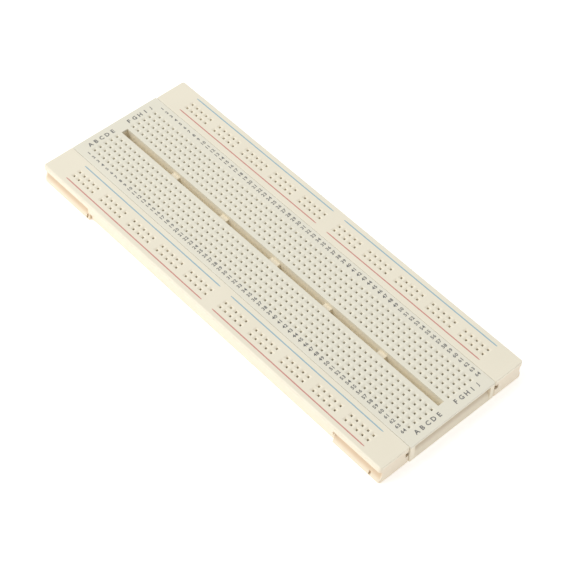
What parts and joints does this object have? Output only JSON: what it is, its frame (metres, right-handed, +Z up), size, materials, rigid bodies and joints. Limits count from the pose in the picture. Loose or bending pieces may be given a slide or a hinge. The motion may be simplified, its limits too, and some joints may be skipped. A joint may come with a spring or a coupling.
{
  "type": "solderless breadboard",
  "caption": "Ivory solderless breadboard: a terminal strip with a centre channel and a bus strip with red and blue lines on each side, spring clips inside, on foam tape.",
  "frame": {"origin": "middle of the underside, on the surface that the board lies on", "axes": "+X across the strips towards columns F to J, +Y along the strips towards row 1, +Z up out of the contact face"},
  "size_m": [0.0648, 0.1726, 0.0085],
  "materials": {
    "terminal_plastic": "moulded ABS, fine satin, ivory with a grey-green cast",
    "bus_plastic": "moulded ABS, fine satin, slightly warmer ivory",
    "spring_metal": "nickel-plated phosphor bronze sheet, stamped",
    "foam_tape": "white closed-cell foam tape, matt",
    "release_liner": "waxed paper, satin",
    "red_ink": "printed red line",
    "blue_ink": "printed blue line",
    "dark_ink": "printed dark grey numbers and letters"
  },
  "bodies": {
    "terminal_strip": {"terminal_strip_housing": "terminal_plastic", "row_clips_ae_01_04": "spring_metal", "row_clips_ae_05_08": "spring_metal", "row_clips_ae_09_12": "spring_metal", "row_clips_ae_13_16": "spring_metal", "row_clips_ae_17_20": "spring_metal", "row_clips_ae_21_24": "spring_metal", "row_clips_ae_25_28": "spring_metal", "row_clips_ae_29_32": "spring_metal", "row_clips_ae_33_36": "spring_metal", "row_clips_ae_37_40": "spring_metal", "row_clips_ae_41_44": "spring_metal", "row_clips_ae_45_48": "spring_metal", "row_clips_ae_49_52": "spring_metal", "row_clips_ae_53_56": "spring_metal", "row_clips_ae_57_60": "spring_metal", "row_clips_ae_61_64": "spring_metal", "row_clips_fj_01_04": "spring_metal", "row_clips_fj_05_08": "spring_metal", "row_clips_fj_09_12": "spring_metal", "row_clips_fj_13_16": "spring_metal", "row_clips_fj_17_20": "spring_metal", "row_clips_fj_21_24": "spring_metal", "row_clips_fj_25_28": "spring_metal", "row_clips_fj_29_32": "spring_metal", "row_clips_fj_33_36": "spring_metal", "row_clips_fj_37_40": "spring_metal", "row_clips_fj_41_44": "spring_metal", "row_clips_fj_45_48": "spring_metal", "row_clips_fj_49_52": "spring_metal", "row_clips_fj_53_56": "spring_metal", "row_clips_fj_57_60": "spring_metal", "row_clips_fj_61_64": "spring_metal", "terminal_foam_tape": "foam_tape", "terminal_release_liner": "release_liner"},
    "left_bus_strip": {"left_bus_housing": "bus_plastic", "left_red_rail_clip_far": "spring_metal", "left_red_rail_clip_near": "spring_metal", "left_blue_rail_clip_far": "spring_metal", "left_blue_rail_clip_near": "spring_metal", "left_bus_foam_tape": "foam_tape", "left_bus_release_liner": "release_liner"},
    "right_bus_strip": {"right_bus_housing": "bus_plastic", "right_red_rail_clip_far": "spring_metal", "right_red_rail_clip_near": "spring_metal", "right_blue_rail_clip_far": "spring_metal", "right_blue_rail_clip_near": "spring_metal", "right_bus_foam_tape": "foam_tape", "right_bus_release_liner": "release_liner"}
  },
  "joints": [
    {"name": "left_bus_lift", "type": "slide", "parent": "terminal_strip", "child": "left_bus_strip", "axis": [0, 0, 1], "range_m": [0, 0.006]},
    {"name": "right_bus_lift", "type": "slide", "parent": "terminal_strip", "child": "right_bus_strip", "axis": [0, 0, 1], "range_m": [0, 0.006]}
  ]
}
